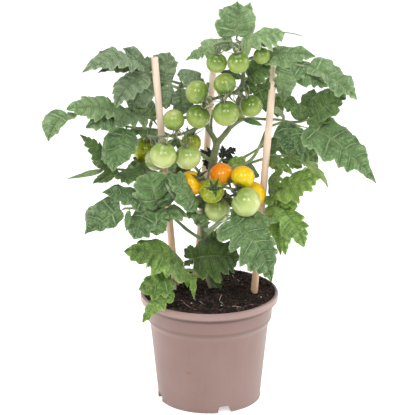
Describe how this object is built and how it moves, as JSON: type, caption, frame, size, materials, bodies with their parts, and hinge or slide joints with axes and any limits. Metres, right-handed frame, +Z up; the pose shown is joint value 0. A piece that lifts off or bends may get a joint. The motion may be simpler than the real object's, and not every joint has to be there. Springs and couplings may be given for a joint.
{
  "type": "tomato plant in a pot",
  "caption": "Dwarf cherry tomato plant with green, yellow and orange fruit and toothed compound leaves, held up by wooden stakes in a round tapered plastic nursery pot.",
  "frame": {"origin": "centre of the pot's foot, on the surface it stands on", "axes": "+Z up along the pot's axis; -Y is the front, where the ripe fruit hangs; +X to the right seen from the front"},
  "size_m": [0.3162, 0.1432, 0.4091],
  "materials": {
    "pot": "satin",
    "soil": "rough",
    "stake": "matte",
    "stem": "matte",
    "truss": "matte",
    "leaf": "satin",
    "tomato_green": "gloss",
    "tomato_pale": "gloss",
    "tomato_turning": "gloss",
    "tomato_yellow": "gloss",
    "tomato_orange": "gloss"
  },
  "bodies": {
    "root": {"main_stem": "stem", "stake_left": "stake", "stake_right": "stake", "stake_back": "stake", "soil": "soil", "pot": "pot", "tomato_top_1": "tomato_green", "tomato_top_2": "tomato_green", "tomato_top_3": "tomato_green", "tomato_middle_1": "tomato_green", "tomato_middle_2": "tomato_green", "tomato_middle_3": "tomato_green", "tomato_middle_4": "tomato_green", "tomato_middle_5": "tomato_green", "tomato_middle_6": "tomato_green", "tomato_left_1": "tomato_green", "tomato_left_6": "tomato_green", "tomato_back_1": "tomato_pale", "tomato_left_4": "tomato_pale", "tomato_left_5": "tomato_pale", "tomato_ripe_5": "tomato_pale", "tomato_ripe_7": "tomato_pale", "tomato_left_2": "tomato_turning", "tomato_left_3": "tomato_turning", "tomato_left_7": "tomato_turning", "tomato_ripe_6": "tomato_turning", "tomato_ripe_3": "tomato_yellow", "tomato_ripe_4": "tomato_yellow", "tomato_ripe_1": "tomato_orange", "tomato_ripe_2": "tomato_orange", "truss_top": "truss", "truss_middle": "truss", "truss_back": "truss", "truss_left": "truss", "truss_ripe": "truss", "leaf_crown": "leaf", "leaf_right_top": "leaf", "leaf_right_back": "leaf", "leaf_right_middle": "leaf", "leaf_right_big": "leaf", "leaf_right_low": "leaf", "leaf_right_bright": "leaf", "leaf_front_big": "leaf", "leaf_centre_low": "leaf", "leaf_left_bottom": "leaf", "leaf_left_low": "leaf", "leaf_left_fold": "leaf", "leaf_left_top": "leaf", "leaf_top_left": "leaf", "leaf_left_far": "leaf", "leaf_left_middle": "leaf", "leaf_left_back": "leaf", "leaf_middle_back": "leaf", "leaf_back_high_left": "leaf", "leaf_back_high_right": "leaf", "leaf_back_middle_left": "leaf", "leaf_back_middle_right": "leaf", "leaf_back_low_right": "leaf"}
  },
  "joints": []
}
